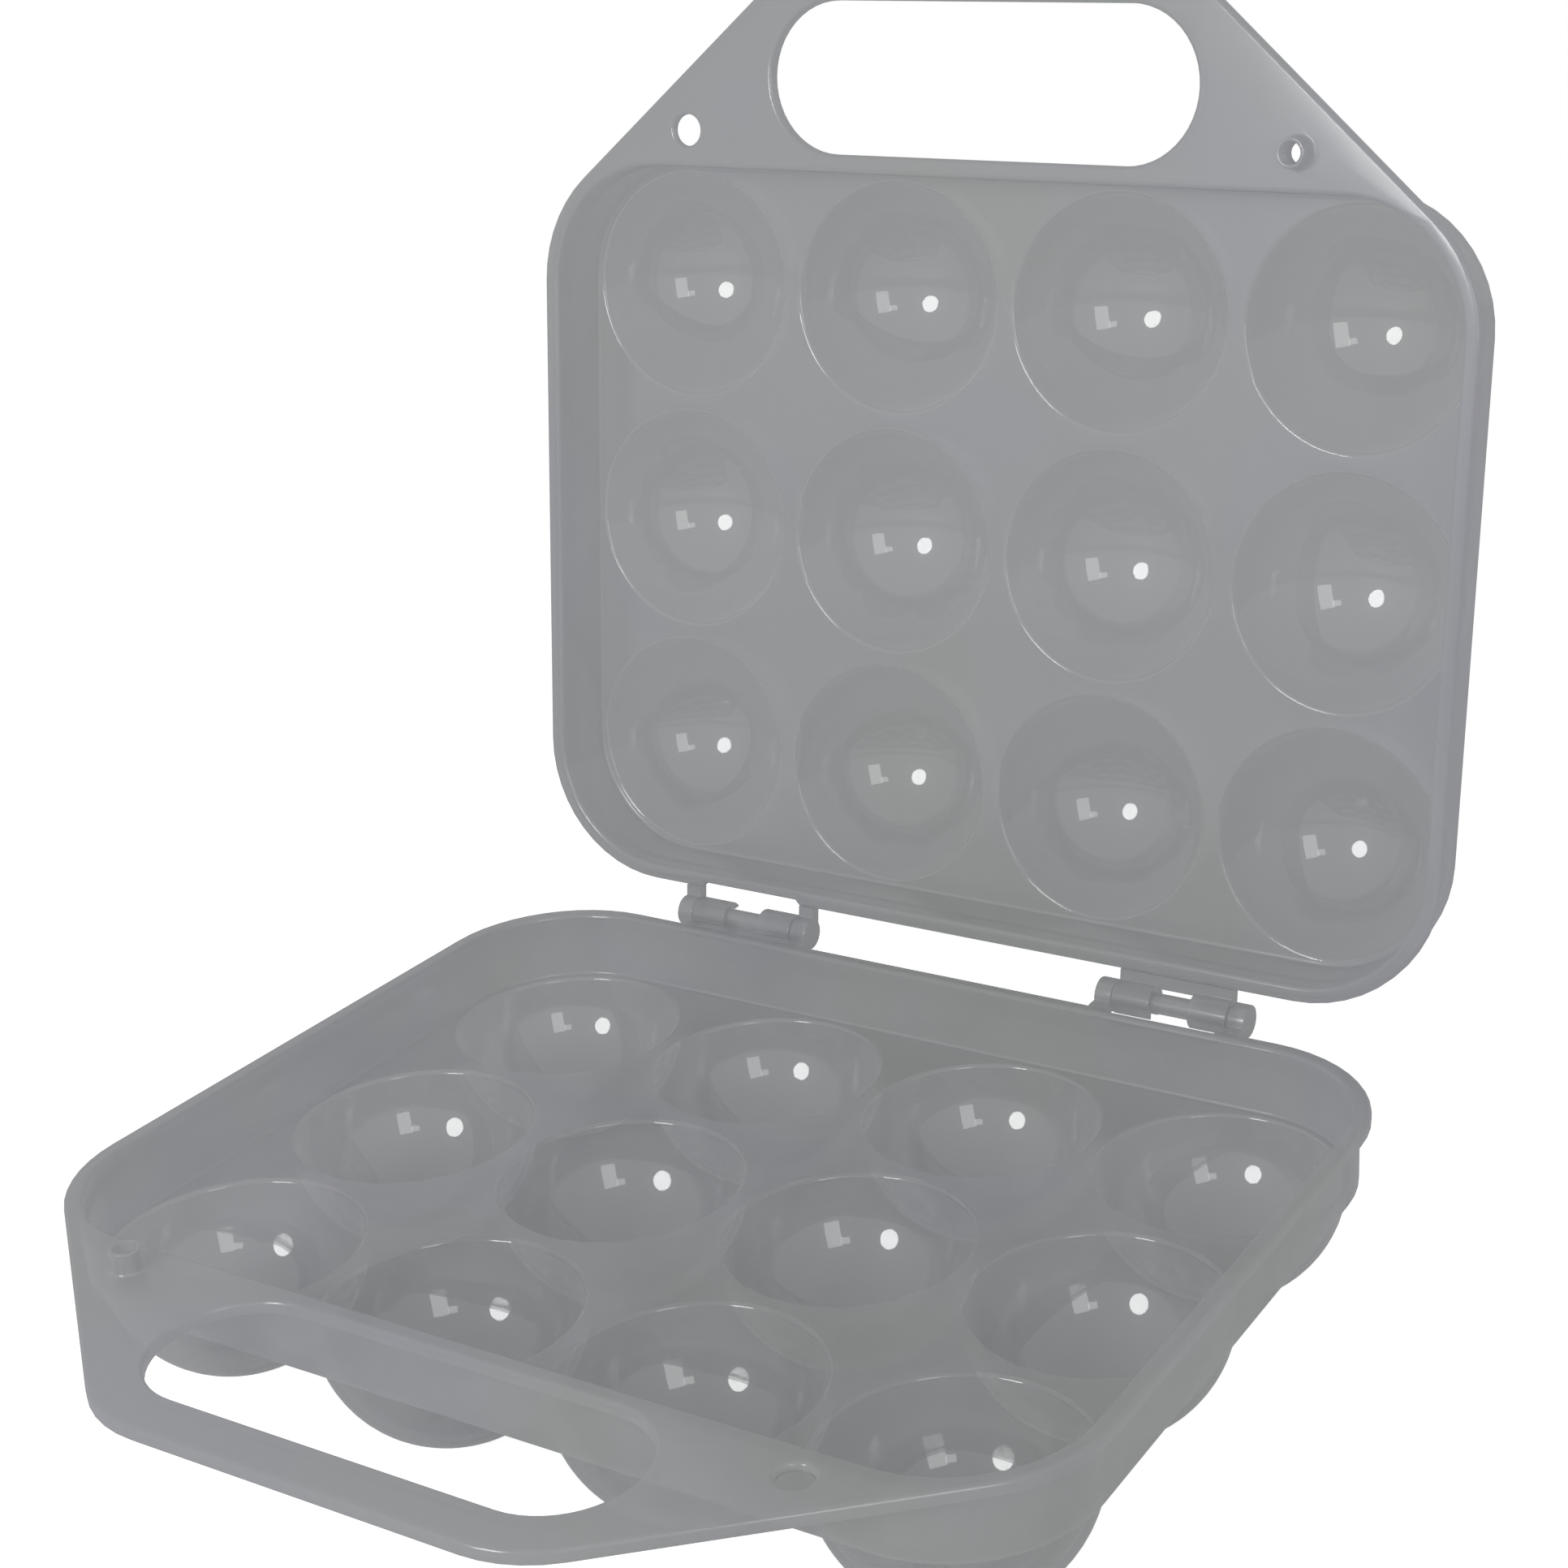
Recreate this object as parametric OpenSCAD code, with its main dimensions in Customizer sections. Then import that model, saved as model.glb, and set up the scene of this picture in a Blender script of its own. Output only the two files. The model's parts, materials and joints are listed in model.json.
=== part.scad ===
// Egg keeper with flip lid: two identical plastic mouldings that clip together
// at the back. Each has a tray with twelve egg cups, a rim, a carrying handle,
// a snap stud and a matching snap hole, and two half hinges.
// One moulding lies open side up; the other, turned over, is the lid.

/* [Egg cups] */
// Distance between cups from left to right
col_pitch = 48; // [47:0.5:52]
// Distance between cups from front to back
row_pitch = 47.7; // [47:0.1:52]
// Inner radius of an egg cup
cup_r = 21.8; // [19:0.1:21.8]
// Thickness of a cup's skin
cup_skin = 1.2; // [1:0.1:1.4]
// Height left off the ball so that each cup stands on a flat foot
foot_cut = 0.8; // [0.4:0.1:2]
// Width of the lead-in round the mouth of a cup
mouth_bevel = 0.9; // [0.4:0.1:1.1]

/* [Tray and rim] */
// Depth of the tray, from the rim plane down to its floor
tray_depth = 13.5; // [10:0.5:20]
// Thickness of the tray's wall and floor
wall_t = 1.4; // [1.2:0.1:2]
// How far the rim stands out from the wall
rim_w = 2; // [1.4:0.1:4]
// Height of the rim band
rim_h = 2.4; // [2:0.1:4]

/* [Handle] */
// Length of the finger slot
slot_l = 89; // [70:1:100]
// Width of the finger slot
slot_w = 28; // [24:1:34]
// Width of the bar round the slot
grip_w = 8.5; // [7:0.5:12]
// Thickness of the handle's web
web_t = 1.4; // [1:0.1:1.8]
// Thickness of the stiffening lips that hang from the web
lip_t = 1.2; // [1:0.1:1.6]

/* [Snap] */
// Distance of the snap from the middle of the handle
snap_x = 64; // [62:0.5:66]
// Diameter of the snap hole
snap_hole_d = 6; // [5.4:0.1:6.4]
// Play all round the stud in the hole
snap_play = 0.3; // [0.25:0.05:0.5]
// Height of the stud over the rim plane
stud_h = 4; // [2:0.5:5]
// Wall of the hollow stud
stud_wall = 0.8; // [0.6:0.1:1]

/* [Hinge] */
// Distance of each hinge from the middle of the back
hinge_x = 48.5; // [40:0.5:52]
// Distance of the hinge axis behind the rim
hinge_reach = 5.4; // [5.2:0.1:8]
// Diameter of the hinge pin
pin_d = 4; // [3:0.1:4.4]
// Radial play of the pin in the hooks
pin_play = 0.06; // [0.04:0.01:0.1]
// Wall of a hook round the pin
hook_wall = 1.34; // [1.2:0.02:1.6]
// Length of the pin between its two arms
pin_l = 24.2; // [22:0.1:26]
// Width of each arm
arm_w = 3.5; // [2.5:0.1:4.5]
// Gap between the two hooks on their tab
hook_gap = 8; // [5:0.5:10]
// Width of the slot that the pin is pressed in through
clip_slot = 3.2; // [2.4:0.1:3.4]
// Depth of the notch in the rim between the arms
notch = 1; // [0.5:0.1:1.5]

/* [Pose] */
// Angle between the two rims as drawn
open_angle = 97.5; // [60:0.5:120]

/* [Hidden] */
$fn = 96;

columns = 4;
reach = 300;

// Ball of the cup, the shoulder that sits in the floor, and the flat foot
ball_r = cup_r + cup_skin;
seat_r = ball_r + 0.2;
cup_depth = ball_r - foot_cut;
foot_r = sqrt(pow(ball_r, 2) - pow(cup_depth, 2));

// The tray's corners are struck from the centres of the corner cups
corner = [(columns - 1) / 2 * col_pitch, row_pitch];
inner_r = seat_r + 0.3;
outer_r = inner_r + wall_t;
rim_r = outer_r + rim_w;
rim_z = tray_depth;
rim_under = rim_z - rim_h;
rim_back = corner.y + rim_r;

// The handle starts inside the front of the rim; its slot clears the rim band
handle_y = corner.y + outer_r + 0.8;
slot_edge_y = rim_back + 0.2;
grip = [(slot_l - slot_w) / 2, slot_edge_y + slot_w / 2];
grip_r = slot_w / 2 + grip_w;
snap_y = rim_back + 3.7;
stud_d = snap_hole_d - 2 * snap_play;

// The hinge axis lies in the middle of the gap between the two closed rims
rim_gap = 0.3;
hinge_y = rim_back + hinge_reach;
hinge_z = rim_z + rim_gap / 2;
hook_r = pin_d / 2 + pin_play + hook_wall;
eye_r = hook_r - 0.2;
tab_half = pin_l / 2 - 0.3;

// The drawing's origin is under the middle of the open keeper, on the table.
// Its front is the grip and its back is the foot of the lid's front cups.
front_reach = grip.y + grip_r;
lid_foot_y = hinge_y - (hinge_y + corner.y + foot_r) * cos(open_angle)
  + (hinge_z + cup_depth) * sin(open_angle);
middle_y = (lid_foot_y - front_reach) / 2;

plastic = [0.6, 0.61, 0.62];

// Direction of the line that touches two circles, measured from the x axis
function slant(ra, rb, d) = acos((rb - ra) / norm(d)) - atan2(d.y, d.x);
function on_circle(c, r, angle) = [c.x + r * cos(angle), -c.y - r * sin(angle)];

// Rectangle with round corners struck from the corner cups
module rounded(r) {
  square([2 * corner.x, 2 * (corner.y + r)], center = true);
  square([2 * (corner.x + r), 2 * corner.y], center = true);
  for (x = [-1, 1], y = [-1, 1])
    translate([x * corner.x, y * corner.y]) circle(r);
}

// Rim and handle seen from above, with both edges set in by the same amount
module outline(inset = 0) {
  ra = rim_r - inset;
  rb = grip_r - inset;
  a = slant(ra, rb, [corner.x - grip.x, grip.y - corner.y]);
  side = [[corner.x, -corner.y], on_circle(corner, ra, a), on_circle(grip, rb, a),
    [grip.x, -grip.y - rb]];
  rounded(ra);
  polygon(concat([for (p = side) [-p.x, p.y]], [for (i = [len(side) - 1:-1:0]) side[i]]));
  for (s = [-1, 1])
    translate([s * grip.x, -grip.y]) circle(rb);
}

module finger_slot(grow = 0) {
  translate([0, -grip.y]) {
    square([2 * grip.x, slot_w + 2 * grow], center = true);
    for (s = [-1, 1])
      translate([s * grip.x, 0]) circle(slot_w / 2 + grow);
  }
}

// Everything in front of the seam between rim and handle, or behind it
module in_front() {
  translate([-reach / 2, -handle_y - reach]) square(reach);
}
module behind() {
  translate([-reach / 2, -handle_y]) square(reach);
}

// Tray floor with a hole for each cup
module floor_panel() {
  color(plastic)
    translate([0, 0, -wall_t])
      linear_extrude(wall_t)
        difference() {
          rounded(inner_r);
          for (col = [0:columns - 1], row = [-1:1])
            translate([col * col_pitch - corner.x, row * row_pitch]) circle(seat_r);
        }
}

// One cup: half a hollow ball with a flat foot and a bevelled mouth
module cup() {
  rotate_extrude()
    difference() {
      union() {
        intersection() {
          circle(ball_r);
          translate([0, -cup_depth]) square([reach, cup_depth - wall_t]);
        }
        translate([0, -wall_t]) square([seat_r, wall_t]);
      }
      intersection() {
        circle(cup_r);
        translate([0, cup_skin - cup_depth]) square([reach, cup_depth]);
      }
      polygon([[0, -mouth_bevel], [cup_r, -mouth_bevel], [cup_r + mouth_bevel, 0],
        [cup_r + mouth_bevel, 1], [0, 1]]);
    }
}

module cup_row(row) {
  color(plastic)
    for (col = [0:columns - 1])
      translate([col * col_pitch - corner.x, row * row_pitch, 0]) cup();
}

// Upright wall between the floor and the rim
module side_wall() {
  color(plastic)
    translate([0, 0, -wall_t])
      linear_extrude(wall_t + rim_under)
        difference() {
          rounded(outer_r);
          rounded(inner_r);
        }
}

// Thick band round the mouth of the tray, notched behind the hinge arms
module rim_band() {
  color(plastic)
    translate([0, 0, rim_under])
      linear_extrude(rim_h)
        difference() {
          intersection() {
            outline();
            behind();
          }
          rounded(inner_r);
          translate([hinge_x - pin_l / 2, rim_back - notch]) square([pin_l, 2 * notch]);
        }
}

// Web of the handle with lips hanging from its edge and from the slot
module handle() {
  color(plastic)
    difference() {
      union() {
        translate([0, 0, rim_z - web_t])
          linear_extrude(web_t)
            intersection() {
              outline();
              in_front();
            }
        translate([0, 0, rim_under])
          linear_extrude(rim_h)
            intersection() {
              difference() {
                outline();
                difference() {
                  outline(lip_t);
                  finger_slot(lip_t);
                }
              }
              in_front();
            }
      }
      translate([0, 0, rim_under - 1]) linear_extrude(rim_h + 2) finger_slot();
      translate([snap_x, -snap_y, rim_under - 1]) cylinder(d = snap_hole_d, h = rim_h + 2);
      translate([-snap_x, -snap_y, rim_under - 1])
        cylinder(d = stud_d - 2 * stud_wall, h = rim_h + 2);
    }
}

// Hollow stud that snaps into the other half's hole
module snap_stud() {
  color(plastic)
    translate([-snap_x, -snap_y, rim_z])
      difference() {
        cylinder(d = stud_d, h = stud_h);
        translate([0, 0, -1]) cylinder(d = stud_d - 2 * stud_wall, h = stud_h + 2);
      }
}

// Round bar along the hinge axis, from x0 over a length
module along_axis(x0, length, r) {
  translate([x0, hinge_y, hinge_z]) rotate([0, 90, 0]) cylinder(r = r, h = length);
}

// Two arms that carry the pin, from the right end of the back
module hinge_arms() {
  color(plastic)
    for (x0 = [hinge_x - pin_l / 2 - arm_w, hinge_x + pin_l / 2]) {
      along_axis(x0, arm_w, eye_r);
      translate([x0, rim_back, rim_under]) cube([arm_w, hinge_reach, rim_h]);
    }
}

module hinge_pin() {
  color(plastic) along_axis(hinge_x - pin_l / 2, pin_l, pin_d / 2);
}

// Tab with two open hooks that clip over the other half's pin
module hinge_hooks() {
  mid = -hinge_x;
  hook_l = tab_half - hook_gap / 2;
  color(plastic)
    difference() {
      union() {
        translate([mid - tab_half, rim_back, rim_under])
          cube([2 * tab_half, hinge_reach - pin_d / 2 - 0.8, rim_h]);
        for (x0 = [mid - tab_half, mid + hook_gap / 2]) {
          along_axis(x0, hook_l, hook_r);
          translate([x0, rim_back, rim_under]) cube([hook_l, hinge_reach - pin_d / 4, rim_h]);
        }
      }
      along_axis(mid - tab_half - 1, 2 * tab_half + 2, pin_d / 2 + pin_play);
      translate([mid - tab_half - 1, hinge_y, hinge_z - clip_slot / 2])
        cube([2 * tab_half + 2, hook_r + 1, clip_slot]);
    }
}

// The lower half as it stands, and the same half turned over and swung open
module as_base() {
  translate([0, -middle_y, cup_depth]) children();
}
module as_lid() {
  as_base()
    translate([0, hinge_y, hinge_z])
      rotate([-open_angle, 0, 0])
        translate([0, -hinge_y, hinge_z])
          rotate([0, 180, 0]) children();
}

module base_floor() { as_base() floor_panel(); }
module base_front_cups() { as_base() cup_row(-1); }
module base_middle_cups() { as_base() cup_row(0); }
module base_rear_cups() { as_base() cup_row(1); }
module base_wall() { as_base() side_wall(); }
module base_rim() { as_base() rim_band(); }
module base_handle() { as_base() handle(); }
module base_snap_stud() { as_base() snap_stud(); }
module base_hinge_arms() { as_base() hinge_arms(); }
module base_hinge_pins() { as_base() hinge_pin(); }
module base_hinge_hooks() { as_base() hinge_hooks(); }

module lid_floor() { as_lid() floor_panel(); }
module lid_front_cups() { as_lid() cup_row(-1); }
module lid_middle_cups() { as_lid() cup_row(0); }
module lid_rear_cups() { as_lid() cup_row(1); }
module lid_wall() { as_lid() side_wall(); }
module lid_rim() { as_lid() rim_band(); }
module lid_handle() { as_lid() handle(); }
module lid_snap_stud() { as_lid() snap_stud(); }
module lid_hinge_arms() { as_lid() hinge_arms(); }
module lid_hinge_pins() { as_lid() hinge_pin(); }
module lid_hinge_hooks() { as_lid() hinge_hooks(); }

base_floor();
base_front_cups();
base_middle_cups();
base_rear_cups();
base_wall();
base_rim();
base_handle();
base_snap_stud();
base_hinge_arms();
base_hinge_pins();
base_hinge_hooks();
lid_floor();
lid_front_cups();
lid_middle_cups();
lid_rear_cups();
lid_wall();
lid_rim();
lid_handle();
lid_snap_stud();
lid_hinge_arms();
lid_hinge_pins();
lid_hinge_hooks();
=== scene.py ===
import json
import math

import bmesh
import bpy
from mathutils import Matrix, Vector


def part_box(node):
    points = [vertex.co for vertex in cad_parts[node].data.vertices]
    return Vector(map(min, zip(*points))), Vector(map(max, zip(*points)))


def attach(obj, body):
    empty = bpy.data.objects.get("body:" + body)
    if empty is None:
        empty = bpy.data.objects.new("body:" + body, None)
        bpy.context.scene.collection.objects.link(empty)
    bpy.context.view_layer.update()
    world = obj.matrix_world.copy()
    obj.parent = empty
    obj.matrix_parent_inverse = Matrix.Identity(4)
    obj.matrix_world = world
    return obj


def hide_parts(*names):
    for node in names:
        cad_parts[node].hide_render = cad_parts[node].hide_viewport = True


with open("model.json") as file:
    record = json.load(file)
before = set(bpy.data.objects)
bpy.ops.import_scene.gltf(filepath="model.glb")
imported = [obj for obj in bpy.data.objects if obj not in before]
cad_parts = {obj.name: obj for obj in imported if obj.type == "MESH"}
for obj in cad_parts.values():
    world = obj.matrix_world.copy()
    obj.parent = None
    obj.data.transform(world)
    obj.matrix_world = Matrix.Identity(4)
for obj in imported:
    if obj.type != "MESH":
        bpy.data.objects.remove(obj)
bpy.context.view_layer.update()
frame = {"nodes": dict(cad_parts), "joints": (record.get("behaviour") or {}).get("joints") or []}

# Where the two halves lie
# The keeper is one plastic moulding used twice. Both halves are drawn in the lower half's own
# frame, in millimetres: the origin is at the middle of the cups on the tray's inner floor, y
# points back to the hinge, and z up to the rim. The lid is the same half, turned over.
MM = 0.001
floor_low, floor_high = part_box("base_floor")
row_low, row_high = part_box("base_middle_cups")
seat = Vector((0, (row_low.y + row_high.y) / 2, floor_high.z))
hinge = frame["joints"][0]
hinge_at = Vector(hinge["pos_m"]) - seat
opened = math.radians(-hinge["range_deg"][0])

as_base = Matrix.Translation(seat) @ Matrix.Scale(MM, 4)
as_lid = (
    Matrix.Translation(seat + hinge_at)
    @ Matrix.Rotation(-opened, 4, "X")
    @ Matrix.Translation((0, -hinge_at.y, hinge_at.z))
    @ Matrix.Rotation(math.pi, 4, "Y")
    @ Matrix.Scale(MM, 4)
)
HALVES = {"base": as_base, "lid": as_lid}

# Natural polypropylene, injection moulded
# The whole keeper is unfilled polypropylene: see-through but milky, so whatever lies behind a
# wall shows softly through it. The cups come from polished tools, which gives them a wet shine
# with small ripples; the flat parts are a little duller. The melt leaves faint clouds of haze.


def linear(code):
    """Turns an sRGB hex colour into the linear colour that Blender works with."""
    parts = [int(code[i : i + 2], 16) / 255 for i in (1, 3, 5)]
    return [p / 12.92 if p <= 0.04045 else ((p + 0.055) / 1.055) ** 2.4 for p in parts] + [1]


def add(tree, kind, inputs=(), **settings):
    """Adds a node with its settings; an input is a value or another node's output."""
    made = tree.nodes.new(kind)
    for name, value in settings.items():
        setattr(made, name, value)
    for name, value in dict(inputs).items():
        if isinstance(value, bpy.types.NodeSocket):
            tree.links.new(value, made.inputs[name])
        else:
            made.inputs[name].default_value = value
    return made


COOL_MILK, WARM_MILK = "#aba9bb", "#a9afa3"
# Widths of the clouds of haze, the patches of tint and the ripples in the skin
CLOUD_MM, TINT_MM, RIPPLE_MM = 34, 60, 16
RIPPLE_HEIGHT_MM, RIPPLE_STRENGTH = 0.6, 0.06
# The noise values between which the haze goes from its least to its most
THIN_CLOUD, THICK_CLOUD = 0.3, 0.7
# How much of the light that the haze catches goes on through the wall
THROUGH_SHARE = 0.45
# A weak, wide gloss lies round the sharp one
BLOOM_SHARE, BLOOM_ROUGHNESS = 0.2, 0.4
# Gloss where a wall is seen face on and edge on, and how late it rises between the two
FACE_GLOSS, EDGE_GLOSS, RISE_POWER = 0.05, 0.15, 5.0


def polypropylene(name, skin_roughness, least_haze, most_haze):
    """Milky plastic with a skin as smooth as its mould, and haziness as its thickness."""
    material = bpy.data.materials.new(name)
    material.use_nodes = True
    tree = material.node_tree
    tree.nodes.clear()
    place = add(tree, "ShaderNodeTexCoord").outputs["Object"]
    clouds = add(
        tree,
        "ShaderNodeTexNoise",
        {"Vector": place, "Scale": 1 / (CLOUD_MM * MM), "Detail": 3.0, "Roughness": 0.55},
    ).outputs["Fac"]
    haze = add(
        tree,
        "ShaderNodeMapRange",
        {
            "Value": clouds,
            "From Min": THIN_CLOUD,
            "From Max": THICK_CLOUD,
            "To Min": least_haze,
            "To Max": most_haze,
        },
    ).outputs["Result"]
    tint = add(
        tree,
        "ShaderNodeTexNoise",
        {"Vector": place, "Scale": 1 / (TINT_MM * MM), "Detail": 2.0},
    ).outputs["Fac"]
    milk_colour = add(
        tree,
        "ShaderNodeMix",
        {0: tint, 6: linear(COOL_MILK), 7: linear(WARM_MILK)},
        data_type="RGBA",
    ).outputs[2]
    ripples = add(
        tree,
        "ShaderNodeTexNoise",
        {"Vector": place, "Scale": 1 / (RIPPLE_MM * MM), "Detail": 1.0},
    ).outputs["Fac"]
    skin = add(
        tree,
        "ShaderNodeBump",
        {"Height": ripples, "Strength": RIPPLE_STRENGTH, "Distance": RIPPLE_HEIGHT_MM * MM},
    ).outputs["Normal"]
    thrown_back = add(
        tree, "ShaderNodeBsdfDiffuse", {"Color": milk_colour, "Roughness": 0.4}
    ).outputs["BSDF"]
    let_through = add(tree, "ShaderNodeBsdfTranslucent", {"Color": milk_colour}).outputs["BSDF"]
    milk = add(
        tree, "ShaderNodeMixShader", {"Fac": THROUGH_SHARE, 1: thrown_back, 2: let_through}
    ).outputs["Shader"]
    clear = add(tree, "ShaderNodeBsdfTransparent", {"Color": (1, 1, 1, 1)}).outputs["BSDF"]
    wall = add(tree, "ShaderNodeMixShader", {"Fac": haze, 1: clear, 2: milk}).outputs["Shader"]
    wet = add(
        tree,
        "ShaderNodeBsdfAnisotropic",
        {"Color": (1, 1, 1, 1), "Roughness": skin_roughness, "Normal": skin},
    ).outputs["BSDF"]
    bloom = add(
        tree,
        "ShaderNodeBsdfAnisotropic",
        {"Color": (1, 1, 1, 1), "Roughness": BLOOM_ROUGHNESS, "Normal": skin},
    ).outputs["BSDF"]
    shine = add(tree, "ShaderNodeMixShader", {"Fac": BLOOM_SHARE, 1: wet, 2: bloom}).outputs[
        "Shader"
    ]
    edge_on = add(tree, "ShaderNodeLayerWeight", {"Blend": 0.5, "Normal": skin})
    rise = add(
        tree,
        "ShaderNodeMath",
        {0: edge_on.outputs["Facing"], 1: RISE_POWER},
        operation="POWER",
    ).outputs["Value"]
    gloss = add(
        tree, "ShaderNodeMapRange", {"Value": rise, "To Min": FACE_GLOSS, "To Max": EDGE_GLOSS}
    ).outputs["Result"]
    # A wall's haze and gloss lie on the side that faces the eye, and its far side is clear
    near = add(tree, "ShaderNodeMixShader", {"Fac": gloss, 1: wall, 2: shine}).outputs["Shader"]
    far = add(tree, "ShaderNodeNewGeometry").outputs["Backfacing"]
    both = add(tree, "ShaderNodeMixShader", {"Fac": far, 1: near, 2: clear}).outputs["Shader"]
    add(tree, "ShaderNodeOutputMaterial", {"Surface": both})
    return material


satin = polypropylene(
    "satin_polypropylene", skin_roughness=0.15, least_haze=0.48, most_haze=0.60
)
polished = polypropylene(
    "polished_polypropylene", skin_roughness=0.035, least_haze=0.18, most_haze=0.30
)

# The half moulding: tray, cups, rim, handle and snap
# Injection moulded in one shot, with a skin about 1.3 mm thick throughout. Every edge that a
# hand meets has a small round, and the rim and handle have a lip hanging from their edges.
COLUMNS = 4
PITCH_X = (row_high.x - row_low.x - (row_high.y - row_low.y)) / (COLUMNS - 1) / MM
PITCH_Y = (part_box("base_rear_cups")[0].y - row_low.y) / MM
corner = Vector(((COLUMNS - 1) / 2 * PITCH_X, PITCH_Y, 0))

rim_low, rim_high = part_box("base_rim")
handle_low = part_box("base_handle")[0]
WALL_T, LIP_T, WEB_T = 1.4, 0.8, 1.4
WALL_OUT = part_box("base_wall")[1].x / MM - corner.x
WALL_IN = WALL_OUT - WALL_T
RIM_OUT = rim_high.x / MM - corner.x
RIM_Z = (rim_high.z - seat.z) / MM
LIP_Z = (rim_low.z - seat.z) / MM
WEB_Z = RIM_Z - WEB_T
FLOOR_UNDER = (floor_low.z - seat.z) / MM

SLOT_R, GRIP_BAR, SLOT_STRAIGHT = 14, 8.5, 61
GRIP_OUT = SLOT_R + GRIP_BAR
grip = Vector((SLOT_STRAIGHT / 2, (seat.y - handle_low.y) / MM - GRIP_OUT, 0))

# The rim has a notch behind the moulded pin
HINGE_X, PIN_L, NOTCH = 48.5, 24.2, 1.0
SNAP_X, SNAP_AHEAD_OF_RIM = 64, 3.7
snap_y = corner.y + RIM_OUT + SNAP_AHEAD_OF_RIM
HOLE_R, HOLE_LEAD_IN = 3.0, 0.65
STUD_R, BORE_R, STUD_H = 2.7, 1.9, 4.0
STUD_FLARE, STUD_ROUND, BORE_BREAK = 0.6, 0.3, 0.2

# The cups are half balls, rounded at the mouth, with a foot that is flatter than the ball
BALL_IN, BALL_OUT = 21.8, 23.0
MOUTH_ROUND, UNDER_ROUND = 0.9, 0.4
FOOT_OUT, FOOT_ROUND = 22.2, 10.0
AROUND, TURN_STEP = 72, math.radians(7.5)
# Points closer than this become one
TOUCHING = 0.002
# The place of each finish in a piece's list of materials
SATIN, POLISHED = 0, 1


def arc(x, z, r, start, end, steps):
    """Points on an arc in a profile's plane, between two angles in degrees."""
    angles = [math.radians(start + (end - start) * i / steps) for i in range(steps + 1)]
    return [(x + r * math.cos(a), z + r * math.sin(a)) for a in angles]


def ball_profile(ball, mouth_z, lead_in, end, steps):
    """One side of a cup's skin, from the floor, round the mouth and down to an angle."""
    start = math.degrees(math.asin((lead_in - mouth_z) / ball))
    side = ball * math.cos(math.radians(start))
    return (
        arc(side + lead_in, mouth_z - lead_in, lead_in, 90, 180, 4)
        + arc(0, 0, ball, -start, -end, steps)[1:]
    )


def draw(bm, profile, start):
    """Draws a profile in the upright plane through a point, ready to be spun or swept."""
    verts = [bm.verts.new((start.x + r, start.y, z)) for r, z in profile]
    return verts + [bm.edges.new(pair) for pair in zip(verts, verts[1:])]


def spun(profile):
    """The shape of a profile turned once round the upright axis."""
    bm = bmesh.new()
    bmesh.ops.spin(
        bm,
        geom=draw(bm, profile, Vector()),
        cent=(0, 0, 0),
        axis=(0, 0, 1),
        angle=math.tau,
        steps=AROUND,
        use_merge=True,
    )
    return bm


def swept(profile, start, path):
    """The shape of a profile carried along straight runs and turns about a point."""
    bm = bmesh.new()
    geom = draw(bm, profile, start)
    for run, centre, angle in path:
        geom = bmesh.ops.spin(
            bm,
            geom=geom,
            cent=centre,
            axis=(0, 0, 1),
            dvec=run,
            angle=angle,
            steps=max(1, round(angle / TURN_STEP)),
        )["geom_last"]
    return bm


def join(half, shape, spots=(Vector(),), finish=SATIN):
    """Adds a drawn shape to the half moulding, once at each of its spots."""
    for face in shape.faces:
        face.material_index = finish
    mesh = bpy.data.meshes.new("shape")
    shape.to_mesh(mesh)
    shape.free()
    for spot in spots:
        mesh.transform(Matrix.Translation(spot))
        half.from_mesh(mesh)
        mesh.transform(Matrix.Translation(-spot))
    bpy.data.meshes.remove(mesh)


def straight(x, y):
    """A straight run of a path: how far it goes, with no turn."""
    return (Vector((x, y, 0)), Vector(), 0.0)


def turn(centre, angle):
    """A turn of a path about an upright line through its centre."""
    return (Vector(), centre, angle)


def mirrored(v, x, y):
    """A point of the plan on the same side (1) or the other side (-1) of each axis."""
    return Vector((x * v.x, y * v.y, 0))


QUARTER = math.pi / 2
back_right, back_left = corner, mirrored(corner, -1, 1)
front_left, front_right = mirrored(corner, -1, -1), mirrored(corner, 1, -1)
grip_left, grip_right = mirrored(grip, -1, -1), mirrored(grip, 1, -1)

tray_path = [
    straight(0, 2 * corner.y),
    turn(back_right, QUARTER),
    straight(-2 * corner.x, 0),
    turn(back_left, QUARTER),
    straight(0, -2 * corner.y),
    turn(front_left, QUARTER),
    straight(2 * corner.x, 0),
    turn(front_right, QUARTER),
]

# The slanted side touches the tray's corner round and the grip's round
apart = grip_left - front_left
slant = math.acos((GRIP_OUT - RIM_OUT) / apart.length) - math.atan2(-apart.y, apart.x)
normal = Vector((-math.cos(slant), -math.sin(slant), 0))
down = apart + (GRIP_OUT - RIM_OUT) * normal
up = mirrored(down, 1, -1)
notch_end = HINGE_X + PIN_L / 2
outer_path = [
    straight(0, 2 * corner.y),
    turn(back_right, QUARTER),
    straight(notch_end - corner.x, 0),
    straight(-NOTCH, -NOTCH),
    straight(2 * NOTCH - PIN_L, 0),
    straight(-NOTCH, NOTCH),
    straight(PIN_L - notch_end - corner.x, 0),
    turn(back_left, QUARTER),
    straight(0, -2 * corner.y),
    turn(front_left, slant),
    straight(down.x, down.y),
    turn(grip_left, QUARTER - slant),
    straight(2 * grip.x, 0),
    turn(grip_right, QUARTER - slant),
    straight(up.x, up.y),
    turn(front_right, slant),
]
slot_path = [
    turn(grip_right, QUARTER),
    straight(-2 * grip.x, 0),
    turn(grip_left, 2 * QUARTER),
    straight(2 * grip.x, 0),
    turn(grip_right, QUARTER),
]

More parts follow.
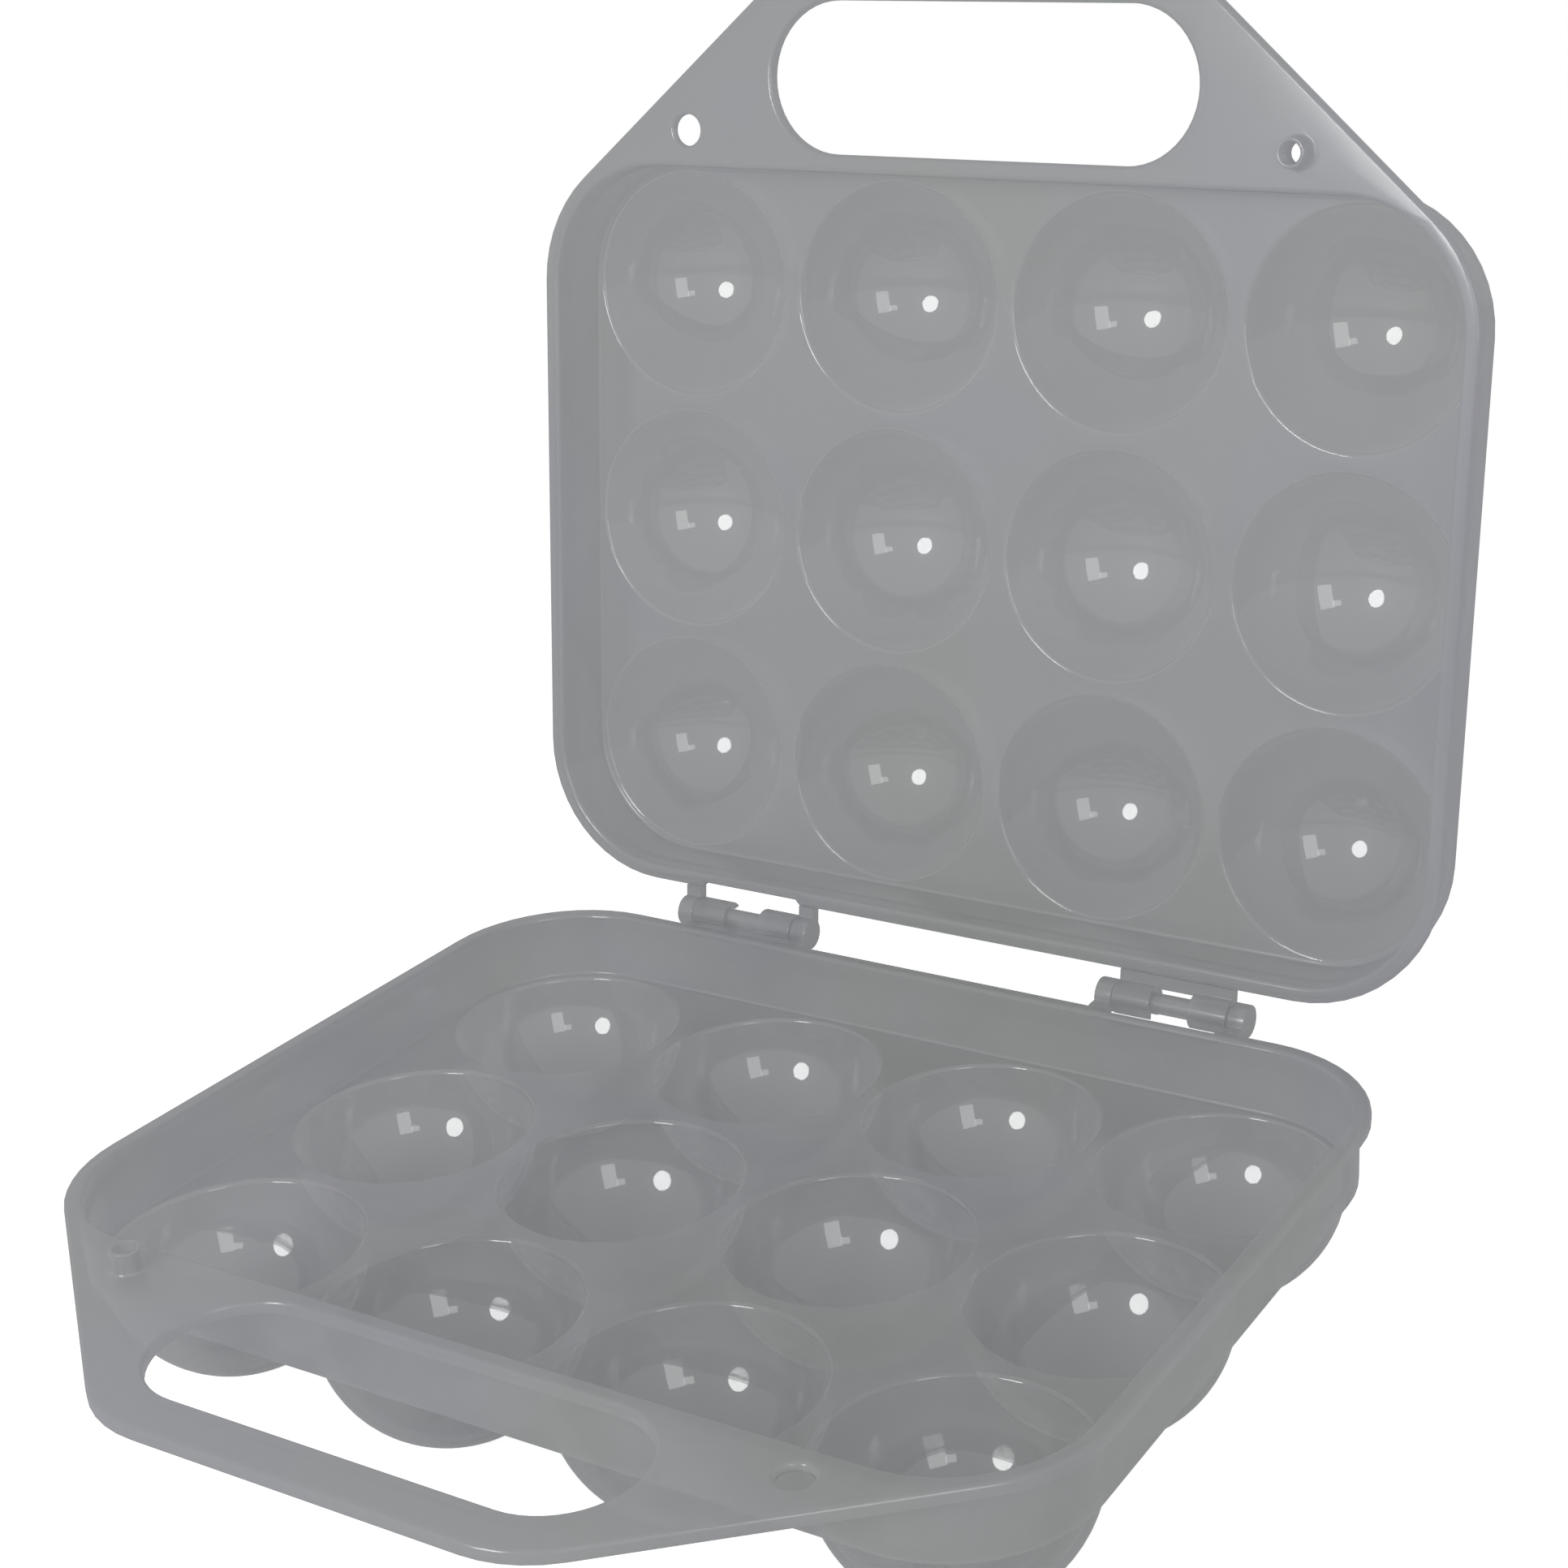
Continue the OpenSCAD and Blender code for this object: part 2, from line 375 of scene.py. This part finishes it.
WALL_FILLET, WALL_ROUND, RIM_ROUND, WEB_ROUND = 0.6, 1.2, 0.9, 0.15
STEP_Z, STEP_OUT, STEP_UP = 9.1, 0.25, 0.4
mouth_in = WALL_IN + STEP_OUT
wall_inside = (
    arc(WALL_IN - WALL_FILLET, WALL_FILLET, WALL_FILLET, -90, 0, 3)
    + [(WALL_IN, STEP_Z), (mouth_in, STEP_Z + STEP_UP)]
    + arc(mouth_in + RIM_ROUND, RIM_Z - RIM_ROUND, RIM_ROUND, 180, 90, 5)
)
wall_outside = arc(
    WALL_OUT - WALL_ROUND, FLOOR_UNDER + WALL_ROUND, WALL_ROUND, -90, 0, 5
) + arc(WALL_OUT + WEB_ROUND, WEB_Z - WEB_ROUND, WEB_ROUND, 180, 90, 2)

LIP_ROUND, LIP_BREAK = 0.8, 0.2


def lip_profile(edge, side):
    """The lip at an outer edge (side 1) or round the slot (side -1), from top to underside."""
    top = arc(edge - side * LIP_ROUND, RIM_Z - LIP_ROUND, LIP_ROUND, 90, 90 - 90 * side, 4)
    back = edge - side * LIP_T
    return top + [
        (edge, LIP_Z + LIP_BREAK),
        (edge - side * LIP_BREAK, LIP_Z),
        (back + side * LIP_BREAK, LIP_Z),
        (back, LIP_Z + LIP_BREAK),
        (back, WEB_Z),
    ]


half = bmesh.new()
cup_spots = [
    Vector((column * PITCH_X - corner.x, row * PITCH_Y, 0))
    for column in range(COLUMNS)
    for row in (-1, 0, 1)
]
cup_inside = ball_profile(BALL_IN, 0, MOUTH_ROUND, 90, 18)
foot_x = math.sqrt((BALL_OUT - FOOT_ROUND) ** 2 - (FOOT_OUT - FOOT_ROUND) ** 2)
foot_turn = math.degrees(math.atan2(FOOT_OUT - FOOT_ROUND, foot_x))
cup_outside = (
    ball_profile(BALL_OUT, FLOOR_UNDER, UNDER_ROUND, foot_turn, 14)
    + arc(foot_x, FOOT_ROUND - FOOT_OUT, FOOT_ROUND, -foot_turn, -90, 4)[1:]
    + [(0, -FOOT_OUT)]
)
join(half, spun(cup_inside), cup_spots, POLISHED)
join(half, spun(cup_outside), cup_spots, POLISHED)
join(half, swept(wall_inside, front_right, tray_path))
join(half, swept(wall_outside, front_right, tray_path))
join(half, swept(lip_profile(RIM_OUT, 1), front_right, outer_path))
join(half, swept(lip_profile(SLOT_R, -1), grip_right, slot_path))
hole = arc(HOLE_R + HOLE_LEAD_IN, RIM_Z - HOLE_LEAD_IN, HOLE_LEAD_IN, 90, 180, 4) + [
    (HOLE_R, WEB_Z)
]
join(half, spun(hole), [Vector((SNAP_X, -snap_y, 0))])
tip = RIM_Z + STUD_H
stud = (
    arc(STUD_R + STUD_FLARE, RIM_Z + STUD_FLARE, STUD_FLARE, -90, -180, 4)
    + arc(STUD_R - STUD_ROUND, tip - STUD_ROUND, STUD_ROUND, 0, 90, 3)
    + [(BORE_R + BORE_BREAK, tip), (BORE_R, tip - BORE_BREAK), (BORE_R, WEB_Z)]
)
join(half, spun(stud), [Vector((-SNAP_X, -snap_y, 0))])

# The four flat faces, with their holes, fill in between the edges left open at each level
bmesh.ops.remove_doubles(half, verts=half.verts, dist=TOUCHING)
for level in (0, FLOOR_UNDER, RIM_Z, WEB_Z):
    rims = [
        e
        for e in half.edges
        if e.is_boundary and all(abs(v.co.z - level) < TOUCHING for v in e.verts)
    ]
    bmesh.ops.triangle_fill(half, edges=rims, use_beauty=True, normal=(0, 0, 1))
bmesh.ops.recalc_face_normals(half, faces=half.faces)
half_mesh = bpy.data.meshes.new("half_moulding")
half.to_mesh(half_mesh)
half.free()


def finished(name, shape, place):
    """A copy of a shape set in its place, with smooth faces and both finishes."""
    mesh = shape.copy()
    mesh.name = name
    mesh.transform(place)
    mesh.polygons.foreach_set("use_smooth", [True] * len(mesh.polygons))
    mesh.materials.append(satin)
    mesh.materials.append(polished)
    piece = bpy.data.objects.new(name, mesh)
    bpy.context.scene.collection.objects.link(piece)
    flat_faces = piece.modifiers.new("flats stay flat", "WEIGHTED_NORMAL")
    flat_faces.weight = 100
    flat_faces.keep_sharp = True
    return piece


SHELL_NODES = (
    "floor",
    "front_cups",
    "middle_cups",
    "rear_cups",
    "wall",
    "rim",
    "handle",
    "snap_stud",
)
for body, place in HALVES.items():
    moulding = finished(f"{body}_moulding", half_mesh, place)
    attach(moulding, body)
    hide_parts(*[f"{body}_{part}" for part in SHELL_NODES])

# The clip hinges
# Each half has two arms with a round pin between them at one end, and a tab with two open
# hooks at the other, all part of its moulding. The hooks of one half clip on the other's pin.
HINGE_ROUND, SHARP = 0.3, math.radians(40)
SAME_FLAT = math.radians(1)
RIM_BACK = corner.y + RIM_OUT


def rounded(node, place):
    """A CAD shape in the half's own frame, its edges rounded but where it joins the rim."""
    shape = bmesh.new()
    shape.from_mesh(node.data)
    shape.transform(place.inverted())
    bmesh.ops.remove_doubles(shape, verts=shape.verts, dist=TOUCHING)
    bmesh.ops.dissolve_limit(
        shape, angle_limit=SAME_FLAT, verts=shape.verts, edges=shape.edges
    )
    crisp = [
        e
        for e in shape.edges
        if e.calc_face_angle() > SHARP
        and any(v.co.y > RIM_BACK + TOUCHING for v in e.verts)
    ]
    bmesh.ops.bevel(
        shape,
        geom=crisp,
        affect="EDGES",
        offset=HINGE_ROUND,
        segments=2,
        profile=0.5,
        clamp_overlap=True,
        material=-1,
    )
    for edge in shape.edges:
        edge.smooth = edge.calc_face_angle() < SHARP
    mesh = bpy.data.meshes.new("hinge_part")
    shape.to_mesh(mesh)
    shape.free()
    return mesh


for body, place in HALVES.items():
    for part in ("hinge_arms", "hinge_hooks"):
        node = f"{body}_{part}"
        piece = finished(f"{node}_rounded", rounded(frame["nodes"][node], place), place)
        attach(piece, body)
        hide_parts(node)
    pins = frame["nodes"][f"{body}_hinge_pins"]
    pins.data.materials.clear()
    pins.data.materials.append(satin)

# Camera
# The place, turn and focal length were solved from the rings of the cups and the rim's edges.
# The shifts put the keeper as far off the middle of the picture as it is in the photograph.
FRAME_MM, FOCAL_MM = 36, 61.83
EYE_MM = (246.9, -349.7, 259.3)
TILT, ROLL, PAN = 68.557, 2.13, 29.059
SHIFT_RIGHT, SHIFT_UP = -0.1205, 0.0155
lens = bpy.data.cameras.new("camera")
lens.sensor_width = FRAME_MM
lens.lens = FOCAL_MM
lens.shift_x, lens.shift_y = SHIFT_RIGHT, SHIFT_UP
lens.clip_start, lens.clip_end = 0.01, 100
camera = bpy.data.objects.new("camera", lens)
camera.location = Vector(EYE_MM) * MM
camera.rotation_euler = [math.radians(a) for a in (TILT, ROLL, PAN)]
bpy.context.scene.collection.objects.link(camera)
bpy.context.scene.camera = camera

# Lamps
# One round softbox in front of the keeper lights it and gives the round spot in each cup. A
# bent window to its right, of two panes, gives the second, fainter reflection beside the spot.


AIM_MM = (0, 0, 60)


def lamp(name, shape, size_mm, place_mm, radiance):
    """A flat lamp of a given brightness, facing the keeper."""
    light = bpy.data.lights.new(name, "AREA")
    light.shape = shape
    light.size, light.size_y = Vector(size_mm) * MM
    area = light.size * light.size_y * (math.pi / 4 if shape == "DISK" else 1)
    light.energy = radiance * math.pi * area
    made = bpy.data.objects.new(name, light)
    made.location = Vector(place_mm) * MM
    aim = Vector(AIM_MM) * MM - made.location
    made.rotation_euler = aim.to_track_quat("-Z", "Y").to_euler()
    bpy.context.scene.collection.objects.link(made)


SOFTBOX, WINDOW = 13.0, 3.4
lamp("softbox", "DISK", (240, 240), (-112, -668, 375), SOFTBOX)
lamp("window_pane", "RECTANGLE", (180, 300), (505, -425, 335), WINDOW)
lamp("window_side", "RECTANGLE", (110, 80), (400, -515, 440), WINDOW)

# Backdrop
# Looked at straight, and mirrored in the skin, the room round the keeper is white. Through the
# plastic it is the grey that the see-through walls show. It lights more from the sides than
# from above.
THROUGH_GREY = "#959798"
SIDE_LIGHT, TOP_LIGHT = 1.0, 0.28

world = bpy.data.worlds.new("room")
bpy.context.scene.world = world
world.use_nodes = True
tree = world.node_tree
tree.nodes.clear()


def straight_on(tree):
    """1 where something is looked at straight, with no plastic in front of it, and else 0."""
    ray = add(tree, "ShaderNodeLightPath").outputs
    first = add(
        tree, "ShaderNodeMath", {0: ray["Transparent Depth"], 1: 0.5}, operation="LESS_THAN"
    ).outputs["Value"]
    return add(
        tree, "ShaderNodeMath", {0: ray["Is Camera Ray"], 1: first}, operation="MULTIPLY"
    ).outputs["Value"]


seen_through = add(
    tree, "ShaderNodeBackground", {"Color": linear(THROUGH_GREY), "Strength": 1.0}
).outputs["Background"]
direction = add(tree, "ShaderNodeTexCoord").outputs["Generated"]
height = add(tree, "ShaderNodeSeparateXYZ", {"Vector": direction}).outputs["Z"]
side_to_top = add(
    tree, "ShaderNodeMapRange", {"Value": height, "To Min": SIDE_LIGHT, "To Max": TOP_LIGHT}
).outputs["Result"]
around = add(
    tree, "ShaderNodeBackground", {"Color": (1, 1, 1, 1), "Strength": side_to_top}
).outputs["Background"]
white = add(
    tree, "ShaderNodeBackground", {"Color": (1, 1, 1, 1), "Strength": 1.0}
).outputs["Background"]
ray = add(tree, "ShaderNodeLightPath").outputs
behind = add(
    tree, "ShaderNodeMixShader", {"Fac": ray["Is Camera Ray"], 1: around, 2: seen_through}
).outputs["Shader"]
bent = add(
    tree,
    "ShaderNodeMath",
    {0: ray["Is Glossy Ray"], 1: ray["Is Transmission Ray"]},
    operation="MAXIMUM",
).outputs["Value"]
bare = add(tree, "ShaderNodeMath", {0: straight_on(tree), 1: bent}, operation="MAXIMUM").outputs[
    "Value"
]
sky = add(tree, "ShaderNodeMixShader", {"Fac": bare, 1: behind, 2: white}).outputs["Shader"]
add(tree, "ShaderNodeOutputWorld", {"Surface": sky})

# Floor
# The keeper stands on matt paper, which lies a hair below its feet. Looked at straight, the paper
# is white and holds a soft shadow. Through the plastic it is grey, shaded near the keeper and
# even further off, and the skin mirrors a half-and-half mix of the white and the grey.
PAPER_WHITE, PAPER_GREY, BOUNCE_GREY = "#f4f4f4", "#a2a3a5", "#b4b4b4"
# Glow of the white paper, and of the grey paper close to the keeper
WHITE_LIFT, GREY_LIFT = 0.53, 0.12
# How far from the middle, in metres, the shaded grey starts to even out and has done so
SHADED_TO, EVEN_FROM = 0.16, 0.44
MIRRORED_WHITE = 0.5
FLOOR_HALF, UNDER_FEET_MM = 6.0, 0.05

paper = bpy.data.materials.new("matt_paper")
paper.use_nodes = True
tree = paper.node_tree
tree.nodes.clear()
white_paper = add(tree, "ShaderNodeBsdfDiffuse", {"Color": linear(PAPER_WHITE)}).outputs["BSDF"]
white_glow = add(
    tree, "ShaderNodeEmission", {"Color": (1, 1, 1, 1), "Strength": WHITE_LIFT}
).outputs["Emission"]
lit_paper = add(tree, "ShaderNodeAddShader", {0: white_paper, 1: white_glow}).outputs["Shader"]
shaded_grey = add(tree, "ShaderNodeBsdfDiffuse", {"Color": linear(PAPER_GREY)}).outputs["BSDF"]
grey_glow = add(
    tree, "ShaderNodeEmission", {"Color": linear(THROUGH_GREY), "Strength": GREY_LIFT}
).outputs["Emission"]
near_grey = add(tree, "ShaderNodeAddShader", {0: shaded_grey, 1: grey_glow}).outputs["Shader"]
far_grey = add(
    tree, "ShaderNodeEmission", {"Color": linear(THROUGH_GREY), "Strength": 1.0}
).outputs["Emission"]
spot = add(tree, "ShaderNodeTexCoord").outputs["Object"]
away = add(tree, "ShaderNodeVectorMath", {0: spot}, operation="LENGTH").outputs["Value"]
evening_out = add(
    tree, "ShaderNodeMapRange", {"Value": away, "From Min": SHADED_TO, "From Max": EVEN_FROM}
).outputs["Result"]
grey_paper = add(
    tree, "ShaderNodeMixShader", {"Fac": evening_out, 1: near_grey, 2: far_grey}
).outputs["Shader"]
bounce = add(tree, "ShaderNodeBsdfDiffuse", {"Color": linear(BOUNCE_GREY)}).outputs["BSDF"]
ray = add(tree, "ShaderNodeLightPath").outputs
unseen = add(
    tree, "ShaderNodeMixShader", {"Fac": ray["Is Camera Ray"], 1: bounce, 2: grey_paper}
).outputs["Shader"]
mirrored_in_skin = add(
    tree, "ShaderNodeMath", {0: ray["Is Glossy Ray"], 1: MIRRORED_WHITE}, operation="MULTIPLY"
).outputs["Value"]
bare = add(
    tree, "ShaderNodeMath", {0: straight_on(tree), 1: mirrored_in_skin}, operation="MAXIMUM"
).outputs["Value"]
sheet = add(tree, "ShaderNodeMixShader", {"Fac": bare, 1: unseen, 2: lit_paper}).outputs["Shader"]
add(tree, "ShaderNodeOutputMaterial", {"Surface": sheet})

bm = bmesh.new()
bmesh.ops.create_grid(
    bm,
    x_segments=2,
    y_segments=2,
    size=FLOOR_HALF,
    matrix=Matrix.Translation((0, 0, -UNDER_FEET_MM * MM)),
)
mesh = bpy.data.meshes.new("floor")
bm.to_mesh(mesh)
bm.free()
mesh.materials.append(paper)
floor = bpy.data.objects.new("floor", mesh)
bpy.context.scene.collection.objects.link(floor)

# The picture
# It is shown as plain sRGB. A line of sight can cross both halves and the walls of several
# cups, so a ray may pass through up to forty skins of plastic before it stops.
SKINS_DEEP = 40
bpy.context.scene.view_settings.view_transform = "Standard"
bpy.context.scene.cycles.transparent_max_bounces = SKINS_DEEP
